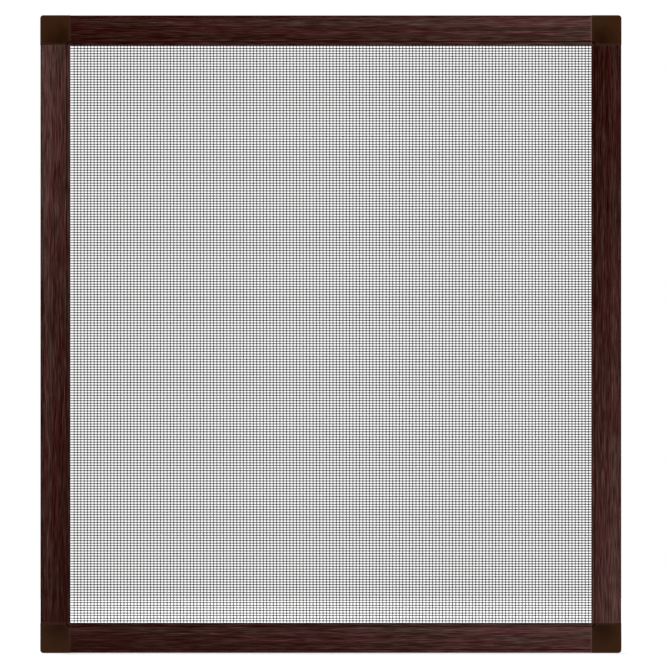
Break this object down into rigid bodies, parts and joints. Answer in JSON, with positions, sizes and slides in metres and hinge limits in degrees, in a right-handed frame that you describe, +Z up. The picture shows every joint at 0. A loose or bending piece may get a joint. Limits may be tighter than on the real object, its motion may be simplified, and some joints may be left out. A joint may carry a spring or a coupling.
{
  "type": "window screen frame",
  "caption": "Flat rectangular window insect screen: wood-grain metal rails, dark corner blocks and a black woven mesh held in a groove at the back by pressed-in splines.",
  "frame": {"origin": "under the middle of the bottom edge, half way between front and back", "axes": "+X to the right and +Z up as seen from the front, +Y to the back, where the splines are"},
  "size_m": [0.401, 0.01, 0.44],
  "materials": {
    "rail": "powder-coated aluminium with a dark brown wood-grain print, satin",
    "corner": "moulded dark brown plastic, fine texture",
    "mesh": "black vinyl-coated polyester, plain weave",
    "spline": "black extruded spline, matt"
  },
  "bodies": {
    "root": {"top_rail": "rail", "bottom_rail": "rail", "left_rail": "rail", "right_rail": "rail", "corner_top_left": "corner", "corner_top_right": "corner", "corner_bottom_left": "corner", "corner_bottom_right": "corner", "insect_mesh": "mesh", "top_spline": "spline", "bottom_spline": "spline", "left_spline": "spline", "right_spline": "spline"}
  },
  "joints": []
}
